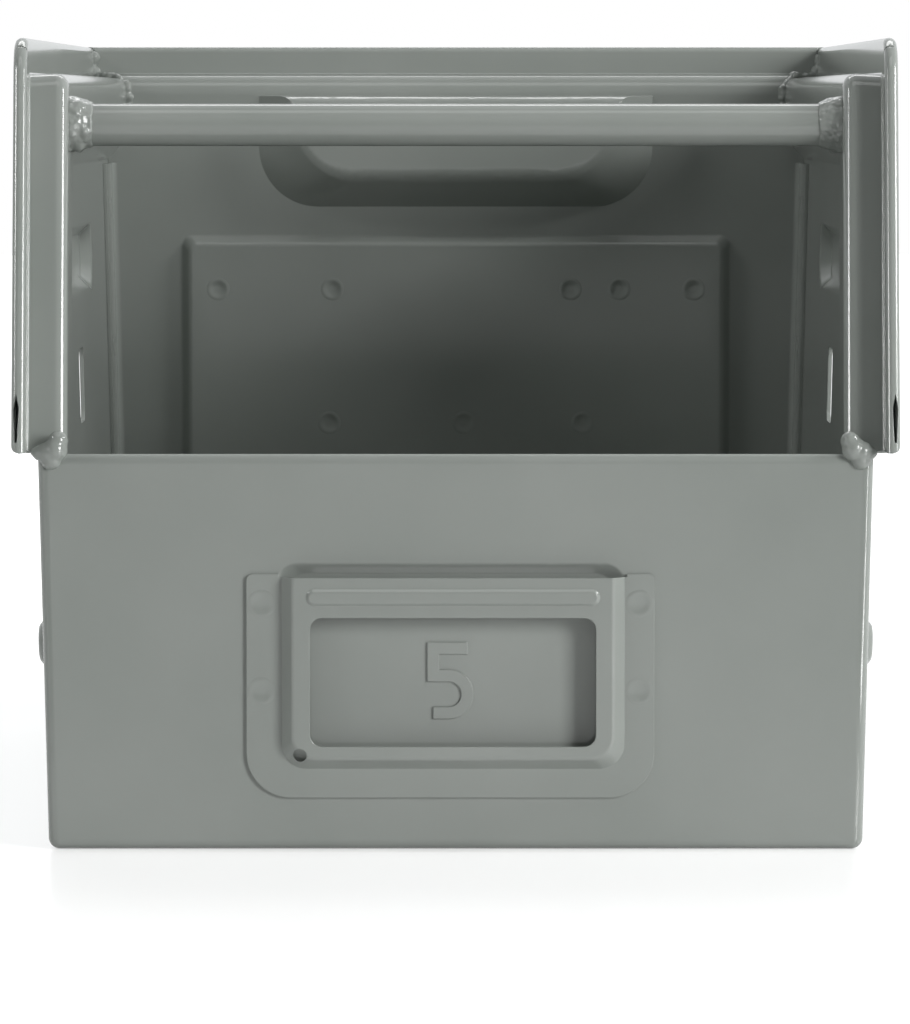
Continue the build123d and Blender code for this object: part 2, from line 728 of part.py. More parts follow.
with BuildPart() as rear_blank:
    add(rear_plate.part)
    with BuildSketch(Plane.XZ.offset(-at(rear_outer))):
        for side in (-1, 1):
            with Locations((side * wall_half(flange_low), (flange_low + flange_high) / 2)):
                Rectangle(4 * bend, flange_high - flange_low)
    extrude(amount=2 * sheet, mode=Mode.SUBTRACT)
    add(rear_shell.part)
    add(pressed_pad(rear_face, panel_centre, panel_size, panel_depth, panel_slope, bend,
                    crest_radius))
    add(pressed_pad(rear_face.offset(-sheet), panel_centre, panel_size, panel_depth,
                    panel_slope, bend, crest_radius - sheet), mode=Mode.SUBTRACT)
    panel_range = ((-panel_half - sheet, panel_half + sheet), (panel_bottom - sheet, panel_top + sheet))
    fillet(creases(rear_blank, Axis.Y, at(rear_inner), *panel_range), radius=crest_radius - sheet)
    fillet(creases(rear_blank, Axis.Y, at(rear_outer), *panel_range), radius=crest_radius)
    add(grip_block(0, 0, grip_crest))
    add(grip_block(sheet, -sheet, grip_crest - sheet), mode=Mode.SUBTRACT)
    add(rear_rim_run.part)

with BuildPart() as rear_wall:
    add(rear_blank.part)
    add(rear_seam_pins, mode=Mode.SUBTRACT)
    add(rear_floor_pins, mode=Mode.SUBTRACT)
    add(plate_pins, mode=Mode.SUBTRACT)

# Stiffening plate in the recess of the rear panel
with BuildPart() as plate_blank:
    with BuildSketch(rear_face.offset(panel_depth - sheet)) as plate_outline:
        with Locations((0, plate_top - plate_band_height / 2)):
            Rectangle(2 * plate_half, plate_band_height)
        with Locations((0, plate_top - plate_height / 2)):
            Rectangle(2 * plate_tongue_half, plate_height)
        fillet(plate_outline.vertices(), radius=plate_corner)
    extrude(amount=-plate_sheet)
with BuildPart() as rear_stiffening_plate:
    add(plate_blank.part)
    add(plate_pins, mode=Mode.SUBTRACT)

# Carrying bar between the necks
with BuildPart() as carrying_bar:
    with BuildSketch(Plane.YZ):
        with Locations((at(bar_depth), bar_height)):
            Circle(bar_diameter / 2)
    extrude(amount=bar_reach, both=True)
    chamfer(carrying_bar.edges(), length=bar_chamfer)

# Weld that joins the bar's end to the neck
bar_axis = Axis((0, at(bar_depth), bar_height), (1, 0, 0))
with BuildPart() as left_bar_weld:
    with BuildSketch(Plane.XZ.offset(-at(bar_depth))):
        with BuildLine():
            neck_face = upright_mouth + (bar_height - bar_weld_radius) * lean
            weld_root = neck_face + sheet / 2
            ring_start = (-weld_root, bar_height + bar_weld_radius)
            ring_end = (-bar_reach + sheet, bar_height + bar_diameter / 2)
            hollow = (
                ring_start[0] + bar_weld_hollow * (ring_end[0] - ring_start[0]),
                ring_end[1] + bar_weld_hollow * (ring_start[1] - ring_end[1]),
            )
            Polyline(ring_end, (ring_end[0], bar_height), (-weld_root, bar_height), ring_start)
            ThreePointArc(ring_start, hollow, ring_end)
        make_face()
    revolve(axis=bar_axis)
    add(carrying_bar.part, mode=Mode.SUBTRACT)
    add(side_blank.part, mode=Mode.SUBTRACT)
with BuildPart() as right_bar_weld:
    add(left_bar_weld.part)
    mirror(about=Plane.YZ, mode=Mode.REPLACE)

# Label holder: welded flange on three sides, face standing off and open at the top
holder_centre = (holder_offset, holder_bottom + holder_height / 2)
face_top = holder_top - holder_face_drop
raised_low = holder_bottom + holder_lower_edge
raised_size = (holder_width - 2 * holder_side, 2 * (face_top - raised_low))
face_middle = holder_offset + face_shift
raised_centre = (face_middle, face_top)
raised_corner = holder_foot_radius - holder_lower_edge + holder_slope / 2


def raised_face(inset, start, crest):
    """Raised part of the holder; it is drawn past the top and trimmed later."""
    size = (raised_size[0] - 2 * inset, raised_size[1] - 2 * inset)
    return pressed_pad(facing_front(0).offset(start), raised_centre, size,
                       holder_rise + holder_sheet, holder_slope, raised_corner, crest)


above_face = face_top + holder_height
with BuildPart() as holder_blank:
    with BuildSketch(facing_front(0)) as holder_outline:
        with Locations(holder_centre):
            Rectangle(holder_width, holder_height)
        fillet(holder_outline.vertices().group_by(Axis.Y)[0], radius=holder_foot_radius)
        fillet(holder_outline.vertices().group_by(Axis.Y)[-1], radius=holder_top_radius)
    extrude(amount=holder_sheet)
    add(raised_face(0, 0, holder_crest))
    add(raised_face(wall_shift, -holder_sheet, holder_crest - holder_sheet), mode=Mode.SUBTRACT)
    with BuildSketch(facing_front(0)):
        with Locations((face_middle, (face_top + above_face) / 2)):
            Rectangle(raised_size[0], above_face - face_top)
    extrude(amount=2 * (holder_rise + holder_sheet), mode=Mode.SUBTRACT)
    # Stiffening rib over the window
    rib_centre = (face_middle, holder_top - rib_drop)
    rib_end = rib_size[1] / 2
    face_front = facing_front(0).offset(holder_rise + holder_sheet)
    add(pressed_pad(face_front, rib_centre, rib_size, rib_rise, rib_rise, rib_end, rib_crest))
    add(pressed_pad(face_front.offset(-holder_sheet), rib_centre, rib_size, rib_rise, rib_rise,
                    rib_end, rib_crest / 2), mode=Mode.SUBTRACT)
    with BuildSketch(facing_front(0)):
        with Locations((face_middle, window_centre)):
            RectangleRounded(*window_size, window_corner)
        with Locations((holder_offset - holder_width / 2 + drain_inset[0],
                        holder_bottom + drain_inset[1])):
            Circle(drain_diameter / 2)
    extrude(amount=2 * (holder_rise + holder_sheet), mode=Mode.SUBTRACT)

with BuildPart() as label_holder:
    add(holder_blank.part)
    add(holder_pins, mode=Mode.SUBTRACT)

# Corner welds between the lower end of the sloping rim and the front wall
with BuildPart() as corner_bead:
    Sphere(radius=1)
    scale(by=front_corner_weld_half, mode=Mode.REPLACE)


def largest(shape):
    """The biggest solid of a shape."""
    return shape.solids().sort_by(SortBy.VOLUME)[-1]


foot_middle = (upright_mouth + upright_collar) / 2 + foot_z * lean
weld_centre = (-foot_middle, at(fit), foot_z + front_corner_weld_rise)
left_corner_raw = Pos(*weld_centre) * corner_bead.part - side_blank.part - front_blank.part
with BuildPart() as left_front_corner_weld:
    add(largest(left_corner_raw))
with BuildPart() as right_front_corner_weld:
    add(left_front_corner_weld.part)
    mirror(about=Plane.YZ, mode=Mode.REPLACE)

# Rear corner welds: a bead up the neck's rear edge, along the mitre and up the collars
seam_low = shelf_z - ramp_start + rear_seam_radius
seam_high = shelf_z - lip_radius
seam_points = [
    (-upright_mouth - seam_low * lean, at(rear_inner), seam_low),
    (-upright_mouth - seam_high * lean, at(rear_inner), seam_high),
    (-mouth_half - lip_radius, at(rear_inner + lip_radius), shelf_z),
    (-collar_half, at(rear_collar), shelf_z),
    (-collar_half, at(rear_collar), total_height - hem_width / 2),
]
with BuildPart() as seam_raw:
    for seam_start, seam_end in zip(seam_points, seam_points[1:]):
        seam_run = Vector(*seam_end) - Vector(*seam_start)
        with BuildSketch(Plane(origin=seam_start, z_dir=seam_run)):
            Circle(rear_seam_radius)
        extrude(amount=seam_run.length)
    # The bead is a little thicker where it turns and where it ends
    with Locations(*seam_points):
        Sphere(rear_seam_knot)
# The two rims touch on an upright line at the mitre's foot; the bead stays clear of it
mitre_foot = (-collar_half + rear_collar - rear_inner, at(rear_inner), rear_high + sheet / 2)
with BuildPart() as mitre_gap:
    with Locations(mitre_foot):
        Cylinder(rear_seam_gap, 3 * sheet)
left_seam_raw = seam_raw.part - side_blank.part - rear_blank.part - mitre_gap.part
with BuildPart() as left_rear_corner_weld:
    add(largest(left_seam_raw))
with BuildPart() as right_rear_corner_weld:
    add(left_rear_corner_weld.part)
    mirror(about=Plane.YZ, mode=Mode.REPLACE)

# Spot weld nuggets fill the round holes left for them in the lapped sheets.
with BuildPart() as right_blank:
    add(side_blank.part)
    mirror(about=Plane.YZ, mode=Mode.REPLACE)


def nuggets(pins, *sheets):
    """The part of each pin that lies inside the lapped sheets."""
    with BuildPart() as stack:
        for layer in sheets:
            add(layer.part)
        add(pins, mode=Mode.INTERSECT)
    return stack


floor_side_spot_welds = nuggets(side_floor_pins, floor_blank, side_blank, right_blank)
floor_front_spot_welds = nuggets(front_floor_pins, floor_blank, front_blank)
floor_rear_spot_welds = nuggets(rear_floor_pins, floor_blank, rear_blank)
front_seam_spot_welds = nuggets(front_seam_pins, front_blank, side_blank, right_blank)
rear_seam_spot_welds = nuggets(rear_seam_pins, rear_blank, side_blank, right_blank)
label_holder_spot_welds = nuggets(holder_pins, holder_blank, front_blank)
rear_plate_spot_welds = nuggets(plate_pins, plate_blank, rear_blank)

pieces = {
    "floor_pan": floor_pan,
    "front_wall": front_wall,
    "left_side_wall": left_side_wall,
    "right_side_wall": right_side_wall,
    "rear_wall": rear_wall,
    "rear_stiffening_plate": rear_stiffening_plate,
    "carrying_bar": carrying_bar,
    "label_holder": label_holder,
    "left_bar_weld": left_bar_weld,
    "right_bar_weld": right_bar_weld,
    "left_front_corner_weld": left_front_corner_weld,
    "right_front_corner_weld": right_front_corner_weld,
    "left_rear_corner_weld": left_rear_corner_weld,
    "right_rear_corner_weld": right_rear_corner_weld,
    "floor_side_spot_welds": floor_side_spot_welds,
    "floor_front_spot_welds": floor_front_spot_welds,
    "floor_rear_spot_welds": floor_rear_spot_welds,
    "front_seam_spot_welds": front_seam_spot_welds,
    "rear_seam_spot_welds": rear_seam_spot_welds,
    "label_holder_spot_welds": label_holder_spot_welds,
    "rear_plate_spot_welds": rear_plate_spot_welds,
}
for name, piece in pieces.items():
    piece.part.label = name
    export_step(piece.part, f"parts/{name}.step")
    box = piece.part.bounding_box()
    print(f"{name:26s} solids {len(piece.part.solids()):2d}  volume {piece.part.volume:10.1f}  "
          f"x {box.min.X:8.2f} {box.max.X:8.2f}  y {box.min.Y:8.2f} {box.max.Y:8.2f}  "
          f"z {box.min.Z:7.2f} {box.max.Z:7.2f}")
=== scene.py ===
# %% [markdown]
# # An open-fronted stacking bin of painted sheet steel
# The bin is a welded box: thin pressed sheets, a round carrying bar and a label holder on the
# front. The imported model already holds every sheet at its true size, so this lesson loads it as
# a fixed frame, gives the sheets their paint, models the lumpy weld metal and the dished spot
# welds, and then sets up a plain studio. The first cell loads the frame and measures it.

# %% Load the frame
import math
import random

import bmesh
import bpy
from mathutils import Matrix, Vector


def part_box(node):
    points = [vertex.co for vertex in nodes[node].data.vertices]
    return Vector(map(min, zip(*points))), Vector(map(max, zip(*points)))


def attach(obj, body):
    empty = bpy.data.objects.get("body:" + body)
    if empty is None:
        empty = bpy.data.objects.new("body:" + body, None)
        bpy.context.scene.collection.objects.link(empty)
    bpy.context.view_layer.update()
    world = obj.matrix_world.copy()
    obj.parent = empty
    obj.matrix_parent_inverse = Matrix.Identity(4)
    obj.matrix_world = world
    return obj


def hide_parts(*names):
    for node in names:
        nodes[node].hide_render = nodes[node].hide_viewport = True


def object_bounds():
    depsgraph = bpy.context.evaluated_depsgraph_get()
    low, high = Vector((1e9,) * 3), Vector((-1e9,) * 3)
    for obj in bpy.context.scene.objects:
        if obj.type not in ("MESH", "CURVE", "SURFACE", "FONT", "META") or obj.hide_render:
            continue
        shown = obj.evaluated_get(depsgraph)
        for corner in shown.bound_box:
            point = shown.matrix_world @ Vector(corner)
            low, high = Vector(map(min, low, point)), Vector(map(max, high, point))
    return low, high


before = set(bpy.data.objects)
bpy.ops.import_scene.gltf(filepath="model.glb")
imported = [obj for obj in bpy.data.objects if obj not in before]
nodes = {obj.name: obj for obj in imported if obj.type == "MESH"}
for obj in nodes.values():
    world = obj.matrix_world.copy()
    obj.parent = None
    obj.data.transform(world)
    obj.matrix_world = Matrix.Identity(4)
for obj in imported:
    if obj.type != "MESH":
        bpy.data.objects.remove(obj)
cad_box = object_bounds()
size_mm = [round(1000 * side, 1) for side in cad_box[1] - cad_box[0]]
print("nodes:", len(nodes), "overall size in mm:", size_mm)

# %% [markdown]
# Every length below is a real one in millimetres, because that is how sheet metal is drawn.
# Blender works in metres, so one small function turns the first into the second. Colours are
# written as the hex values that a paint chart gives, which are sRGB, and another function turns
# them into the linear values that shaders expect. The third adds one node to a material with its
# settings and its links, which keeps each material readable from top to bottom, and the last
# starts a material that has nothing in it but its shader.

# %% Small helpers
def mm(value):
    """A length in millimetres, in Blender's metres."""
    return value / 1000


def linear(code):
    """A hex colour as the linear RGBA that shaders take."""
    channels = [int(code[place:place + 2], 16) / 255 for place in (1, 3, 5)]
    curve = [c / 12.92 if c <= 0.04045 else ((c + 0.055) / 1.055) ** 2.4 for c in channels]
    return (*curve, 1.0)


def add_node(tree, kind, links=None, values=None, **settings):
    """One node, with settings, socket values and links from other nodes' outputs."""
    node = tree.nodes.new(kind)
    for name, setting in settings.items():
        setattr(node, name, setting)
    for socket, value in (values or {}).items():
        node.inputs[socket].default_value = value
    for socket, output in (links or {}).items():
        tree.links.new(output, node.inputs[socket])
    return node


def new_material(name):
    """An empty node material and its Principled shader, joined to the output."""
    material = bpy.data.materials.new(name)
    material.use_nodes = True
    tree = material.node_tree
    tree.nodes.clear()
    shader = add_node(tree, "ShaderNodeBsdfPrincipled")
    add_node(tree, "ShaderNodeOutputMaterial", links={"Surface": shader.outputs["BSDF"]})
    return material, tree, shader


print("1 inch is", mm(25.4), "metres; mid grey is", round(linear("#808080")[0], 3), "linear")

# %% [markdown]
# The camera comes early, because the photograph fixes it. Lines that run straight back meet at
# one point of the picture, the vanishing point: its height in the frame gives the camera's pitch
# and its sideways place the camera's turn. The ratio between the widths of the rear rim and the
# front wall gives the distance. A long lens from about 1.6 m fits, so the sides lean inward only
# a little.

# %% Camera
PHOTO_WIDTH, PHOTO_HEIGHT = 910, 1024
VANISHING_X, VANISHING_Y = 457, 102.5
FOCAL_PIXELS = 7009.5
SENSOR_WIDTH = 36.0
FRONT_DISTANCE = mm(1573)
CAMERA_HEIGHT = mm(168.1)
CAMERA_SIDE = mm(0.3)
FARTHEST_SEEN = 50  # metres, well past the floor's edge

front_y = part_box("front_wall")[0][1]
camera_data = bpy.data.cameras.new("photo_camera")
camera_data.sensor_fit = "AUTO"
camera_data.sensor_width = SENSOR_WIDTH
camera_data.lens = FOCAL_PIXELS * SENSOR_WIDTH / PHOTO_HEIGHT
camera_data.clip_end = FARTHEST_SEEN
camera = bpy.data.objects.new("photo_camera", camera_data)
bpy.context.scene.collection.objects.link(camera)
camera.location = (CAMERA_SIDE, front_y - FRONT_DISTANCE, CAMERA_HEIGHT)
pitch = math.atan((PHOTO_HEIGHT / 2 - VANISHING_Y) / FOCAL_PIXELS)
turn = math.atan((VANISHING_X - PHOTO_WIDTH / 2) / FOCAL_PIXELS)
camera.rotation_euler = (math.radians(90) - pitch, 0, turn)
bpy.context.scene.camera = camera
print("lens", round(camera_data.lens, 1), "mm, pitch", round(math.degrees(pitch), 2), "degrees")

# %% [markdown]
# Stoving enamel on steel is a sprayed paint that is baked hard. It gives the eye a smooth, fairly
# sharp gloss, a faint orange peel a millimetre or two across, and a grey that is cloudy by a
# shade, where the coat is thicker or thinner. The orange peel is a bump from noise at its real
# size, and the clouds are a noise a few fingers wide. A Bevel node rounds the shading of the small
# folds that the sheets still have as sharp creases, by the paint and the bend behind it.

# %% Paint on sheet steel
PAINT_THIN = "#999D99"
PAINT_THICK = "#868C87"
CLOUDING = mm(55)
ORANGE_PEEL = mm(1.6)
PEEL_DEPTH = mm(0.012)
PEEL_STRENGTH = 0.12
EDGE_ROUND = mm(0.35)
BEVEL_SAMPLES = 6
ENAMEL_IOR = 1.5


def painted_steel(name, gloss_low, gloss_high, peel=1.0, rounding=EDGE_ROUND):
    """Baked enamel between two roughness values; the lower ones are the shinier paint."""
    material, tree, shader = new_material(name)
    place = add_node(tree, "ShaderNodeTexCoord").outputs["Object"]
    clouds = add_node(tree, "ShaderNodeTexNoise", links={"Vector": place},
                      values={"Scale": 1 / CLOUDING, "Detail": 3.0, "Roughness": 0.5})
    tint = add_node(tree, "ShaderNodeMix", links={"Factor": clouds.outputs["Fac"]},
                    data_type="RGBA")
    tint.inputs["A"].default_value = linear(PAINT_THICK)
    tint.inputs["B"].default_value = linear(PAINT_THIN)
    tree.links.new(tint.outputs["Result"], shader.inputs["Base Color"])
    gloss = add_node(tree, "ShaderNodeMapRange", links={"Value": clouds.outputs["Fac"]},
                     values={"To Min": gloss_low, "To Max": gloss_high})
    tree.links.new(gloss.outputs["Result"], shader.inputs["Roughness"])
    grain = add_node(tree, "ShaderNodeTexNoise", links={"Vector": place},
                     values={"Scale": 1 / ORANGE_PEEL, "Detail": 1.0})
    round_edges = add_node(tree, "ShaderNodeBevel", values={"Radius": rounding},
                           samples=BEVEL_SAMPLES)
    bump = add_node(tree, "ShaderNodeBump",
                    links={"Height": grain.outputs["Fac"],
                           "Normal": round_edges.outputs["Normal"]},
                    values={"Strength": PEEL_STRENGTH * peel, "Distance": PEEL_DEPTH})
    tree.links.new(bump.outputs["Normal"], shader.inputs["Normal"])
    shader.inputs["IOR"].default_value = ENAMEL_IOR
    return material


# On flat sheet the coat is even, with its full orange peel.
sheet_paint = painted_steel("stoving_enamel_on_sheet_steel", 0.09, 0.13)
# Round a bar the wet coat draws itself smooth, so the lamps show as sharp lines along it.
bar_paint = painted_steel("stoving_enamel_on_round_bar", 0.07, 0.1, peel=0.5)
# Weld metal was molten, so under the paint it is smooth and each lump has a small bright spark.
weld_paint = painted_steel("stoving_enamel_over_weld_metal", 0.03, 0.06, peel=0.4)
# A spot weld's dish is the sheet's own paint, with rims too fine for the wider rounding.
dish_paint = painted_steel("stoving_enamel_in_spot_weld_dishes", 0.09, 0.13, rounding=mm(0.1))
for paint in (sheet_paint, bar_paint, weld_paint, dish_paint):
    print("material:", paint.name)

# %% [markdown]
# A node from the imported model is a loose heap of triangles, which would shade as flat facets.
# Its mesh must stay as it is, so the smoothing is done with live modifiers: Weld joins the
# triangles, Edge Split keeps real edges sharp, and Weighted Normal makes large flat faces shade
# flat while the bends between them shade round.

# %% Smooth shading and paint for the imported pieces
TRIANGLE_GAP = mm(0.002)
SHARP_FROM = math.radians(32)


def finish_packed(node, material):
    """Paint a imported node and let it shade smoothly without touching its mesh."""
    node.data.materials.clear()
    node.data.materials.append(material)
    for face in node.data.polygons:
        face.use_smooth = True
    weld = node.modifiers.new("join_triangles", "WELD")
    weld.merge_threshold = TRIANGLE_GAP
    split = node.modifiers.new("keep_real_edges", "EDGE_SPLIT")
    split.split_angle = SHARP_FROM
    split.use_edge_sharp = False
    flat = node.modifiers.new("keep_flats_flat", "WEIGHTED_NORMAL")
    flat.weight = 100
    flat.keep_sharp = True


for name, node in nodes.items():
    if name == "carrying_bar":
        finish_packed(node, bar_paint)
    elif "weld" in name:
        finish_packed(node, weld_paint)
    else:
        finish_packed(node, sheet_paint)
print("painted:", len(nodes), "nodes")

# %% [markdown]
# A spot weld is made by two copper tips that press the sheets together, so each one leaves a
# round dish with a faint raised ring on both faces. It could be a bump in the material, but a
# real dish also catches light from the side, so it is modelled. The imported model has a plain
# round nugget at each place. A node holds a whole group of them, and this cell takes the group
# apart: it walks from vertex to vertex along the edges, and each walk ends with one nugget.

# %% Places of the spot welds
SOLID_GAP = mm(0.005)


def solid_boxes(node):
    """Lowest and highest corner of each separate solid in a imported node."""
    shape = bmesh.new()
    shape.from_mesh(node.data)
    bmesh.ops.remove_doubles(shape, verts=shape.verts, dist=SOLID_GAP)
    boxes = []
    waiting = set(shape.verts)
    while waiting:
        island = [waiting.pop()]
        for vertex in island:
            for edge in vertex.link_edges:
                other = edge.other_vert(vertex)
                if other in waiting:
                    waiting.remove(other)
                    island.append(other)
        low = Vector(min(vertex.co[axis] for vertex in island) for axis in range(3))
        high = Vector(max(vertex.co[axis] for vertex in island) for axis in range(3))
        boxes.append((low, high))
    shape.free()
    # A set gives its vertices in any order, so the boxes are sorted: each run is then the same.
    return sorted(boxes, key=lambda box: tuple(box[0]))


spot_boxes = {name: solid_boxes(nodes[name]) for name in sorted(nodes)
              if name.endswith("spot_welds")}
print({name: len(boxes) for name, boxes in spot_boxes.items()})

# %% [markdown]
# One nugget is a cylinder whose two end faces are inset step by step. Each step has a width and a
# rise: from the rim inward, the face first rises by a few hundredths of a millimetre, which is the
# ring, and then sinks into the dish. The nugget is a little wider than the hole that the packed
# sheets have for it, so its rim hides the seam. Where the tips pressed two thin sheets, as on the
# label holder, the dish is fainter.

# %% Model one dished nugget
NUGGET_RIM = mm(3.1)
RING_RISE = 0.07
DISH_STEPS = [(0.45, RING_RISE), (0.4, -0.02), (0.55, -0.2), (0.6, -0.12), (0.5, -0.03)]
THIN_STACK = mm(1.9)
THIN_STACK_SHARE = 0.4
DISH_SHARP_FROM = math.radians(40)


def select_only(*pieces):
    """These pieces alone are selected, the first one active; with none, nothing is selected."""
    bpy.ops.object.select_all(action="DESELECT")
    for piece in pieces:
        piece.select_set(True)
    if pieces:
        bpy.context.view_layer.objects.active = pieces[0]


def dished_nugget(thickness):
    """A round nugget along Z, dished at both ends; thin sheets take a fainter dish."""
    share = THIN_STACK_SHARE if thickness < THIN_STACK else 1.0
    select_only()
    bpy.ops.mesh.primitive_cylinder_add(vertices=40, radius=NUGGET_RIM, depth=thickness)
    nugget = bpy.context.object
    bpy.ops.object.mode_set(mode="EDIT")
    bpy.ops.mesh.select_mode(type="FACE")
    bpy.ops.mesh.select_all(action="DESELECT")
    mesh = bmesh.from_edit_mesh(nugget.data)
    for face in mesh.faces:
        face.select = abs(face.normal.z) > 0.9  # the two ends
    bmesh.update_edit_mesh(nugget.data)
    for width, rise in DISH_STEPS:
        bpy.ops.mesh.inset(thickness=mm(width), depth=share * mm(rise), use_individual=True)
    bpy.ops.object.mode_set(mode="OBJECT")
    bpy.ops.object.shade_smooth_by_angle(angle=DISH_SHARP_FROM)
    return nugget


patterns = {}
for boxes in spot_boxes.values():
    for low, high in boxes:
        stack = round(min(high - low), 5)
        if stack not in patterns:
            patterns[stack] = dished_nugget(stack)
print("nuggets modelled, by the thickness of their sheets in metres:", sorted(patterns))

# %% [markdown]
# The nuggets are then copied to their places, each copy with its own mesh. A nugget's thin side
# tells which way it looks through the sheets, so a copy is turned from Z to that axis. A group is
# joined to one piece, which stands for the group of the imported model, and the patterns go.

# %% Copy the nuggets to their places
TURN_FROM_Z = [(0, math.radians(90), 0), (math.radians(90), 0, 0), (0, 0, 0)]
# The floor's nuggets look along Z and sit higher by the ring, which would touch the ground.
LIFT = [0, 0, mm(RING_RISE)]


def finish_piece(piece, material, slot, *replaced):
    """Place into the mesh, paint it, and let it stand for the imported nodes."""
    select_only(piece)
    bpy.ops.object.transform_apply(location=True, rotation=True, scale=True)
    piece.data.materials.clear()
    piece.data.materials.append(material)
    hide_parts(*replaced)
    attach(piece, "root")


for name, boxes in spot_boxes.items():
    dishes = []
    for low, high in boxes:
        sides = list(high - low)
        thin = sides.index(min(sides))
        pattern = patterns[round(sides[thin], 5)]
        nugget = pattern.copy()
        nugget.data = pattern.data.copy()
        bpy.context.scene.collection.objects.link(nugget)
        nugget.location = (low + high) / 2
        nugget.location.z += LIFT[thin]
        nugget.rotation_euler = TURN_FROM_Z[thin]
        dishes.append(nugget)
    select_only(*dishes)
    bpy.ops.object.join()
    group = bpy.context.object
    group.name = name.replace("spot_welds", "dished_spots")
    finish_piece(group, dish_paint, "weld_paint", name)
    print(group.name, len(dishes), "nuggets")
for pattern in patterns.values():
    bpy.data.objects.remove(pattern)

# %% [markdown]
# Weld metal is laid on drop by drop and freezes as it is, so it is never a clean fillet. Its
# shape is built the same way: balls of the drops' size along the seam, fused by a voxel remesh,
# smoothed as the melt smooths itself, and roughened by a fine cloud displacement. The seed of
# each weld is fixed, so every run gives the same drops.

# %% Fuse drops into a weld
DROP_VOXEL = mm(0.28)
MELT_FACTOR = 0.5
LUMP_SIZE = mm(1.9)
LUMP_HEIGHT = mm(0.55)

lumps = bpy.data.textures.new("weld_lumps", "CLOUDS")
lumps.noise_scale = LUMP_SIZE
lumps.noise_depth = 2


def fuse_drops(name, drops, node, core=None, melt_rounds=5, lump_height=LUMP_HEIGHT):
    """A weld from drops given as (centre in metres, radius in millimetres)."""
    select_only()
    balls = [core] if core else []
    for centre, radius in drops:
        bpy.ops.mesh.primitive_ico_sphere_add(subdivisions=3, radius=mm(radius), location=centre)
        balls.append(bpy.context.object)
    select_only(*balls)
    bpy.ops.object.join()
    bpy.ops.object.transform_apply(location=True, rotation=True, scale=True)
    weld = bpy.context.object
    weld.name = name
    remesh = weld.modifiers.new("fuse", "REMESH")
    remesh.mode = "VOXEL"
    remesh.voxel_size = DROP_VOXEL
    melt = weld.modifiers.new("melt", "SMOOTH")
    melt.factor = MELT_FACTOR
    melt.iterations = melt_rounds
    rough = weld.modifiers.new("lumps", "DISPLACE")
    rough.texture = lumps
    rough.texture_coords = "LOCAL"
    rough.strength = lump_height
    rough.mid_level = 0.5
    for modifier in list(weld.modifiers):
        bpy.ops.object.modifier_apply(modifier=modifier.name)
    bpy.ops.object.shade_smooth()
    finish_piece(weld, weld_paint, "weld_paint", node)
    print(name, len(drops), "drops,", len(weld.data.polygons), "faces")


print("voxel", DROP_VOXEL * 1000, "mm, lumps", LUMP_SIZE * 1000, "mm")

# %% [markdown]
# The bar is welded to the necks all round. The ring of weld is a blunt cone, as wide as a finger
# nail at the neck and hardly thicker than the bar at its other end. A few drops that froze before
# they had run out are half sunk in the cone, so its shine breaks up.

# %% Bar welds
BAR_SEED = 40
CONE_NECK_TRIM = mm(0.4)
CONE_OVER_BAR = mm(0.35)
RING_DROPS = 9
RING_SPREAD = 0.3
RING_ALONG = (0.25, 0.75)
RING_RADIUS = (1.3, 1.8)
RING_SINK = mm(1.2)
RING_MELT = 9
RING_LUMPS = mm(0.75)

bar_low, bar_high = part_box("carrying_bar")
bar_middle = (bar_low + bar_high) / 2
bar_radius = (bar_high.z - bar_low.z) / 2
for side, word in ((-1, "left"), (1, "right")):
    dice = random.Random(BAR_SEED + side)
    ring_low, ring_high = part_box(f"{word}_bar_weld")
    neck_radius = (ring_high.z - ring_low.z) / 2
    ring_length = ring_high.x - ring_low.x
    select_only()
    bpy.ops.mesh.primitive_cone_add(
        vertices=48, radius1=neck_radius - CONE_NECK_TRIM, radius2=bar_radius + CONE_OVER_BAR,
        depth=ring_length, location=(ring_low + ring_high) / 2,
        rotation=(0, -side * math.radians(90), 0))
    cone = bpy.context.object
    drops = []
    for place in range(RING_DROPS):
        spread = dice.uniform(-RING_SPREAD, RING_SPREAD)
        angle = 2 * math.pi * (place + spread) / RING_DROPS
        along = dice.uniform(*RING_ALONG)
        reach = neck_radius + along * (bar_radius - neck_radius) - RING_SINK
        outward = abs(ring_low.x if side < 0 else ring_high.x) - along * ring_length
        centre = Vector((side * outward, bar_middle.y + reach * math.cos(angle),
                         bar_middle.z + reach * math.sin(angle)))
        drops.append((centre, dice.uniform(*RING_RADIUS)))
    fuse_drops(f"{word}_bar_weld_metal", drops, f"{word}_bar_weld", core=cone,
               melt_rounds=RING_MELT, lump_height=RING_LUMPS)

# %% [markdown]
# Each front corner has one short weld that ties the foot of the sloping shelf to the front wall.
# It ran down the corner while it was hot, more on one side than on the other. The drops' places
# are read from the photograph in pixels, and one function turns a pixel at the front wall's
# distance into a point of the bin.

# %% Front corner welds
# Each drop: its pixel across, its pixel down, and its radius in millimetres.
LEFT_CORNER_DROPS = [(58, 441, 2.3), (55, 450, 2.9), (47, 453, 2.5), (40, 453, 1.8),
                     (35, 452, 1.1), (51, 460, 2.3)]
RIGHT_CORNER_DROPS = [(850, 441, 2.2), (854, 449, 2.8), (862, 452, 2.5), (869, 453, 1.7),
                      (873, 453, 1.1), (861, 460, 2.2)]
CORNER_DEPTH = mm(0.2)
CORNER_MELT = 6
CORNER_LUMPS = mm(0.2)


def front_point(pixel_x, pixel_y, depth):
    """The point at a depth behind the front face that shows at a pixel there."""
    ray = Vector(((pixel_x - PHOTO_WIDTH / 2) / FOCAL_PIXELS,
                  (PHOTO_HEIGHT / 2 - pixel_y) / FOCAL_PIXELS, -1))
    ray.rotate(camera.rotation_euler)
    return camera.location + ray * ((front_y + depth - camera.location.y) / ray.y)


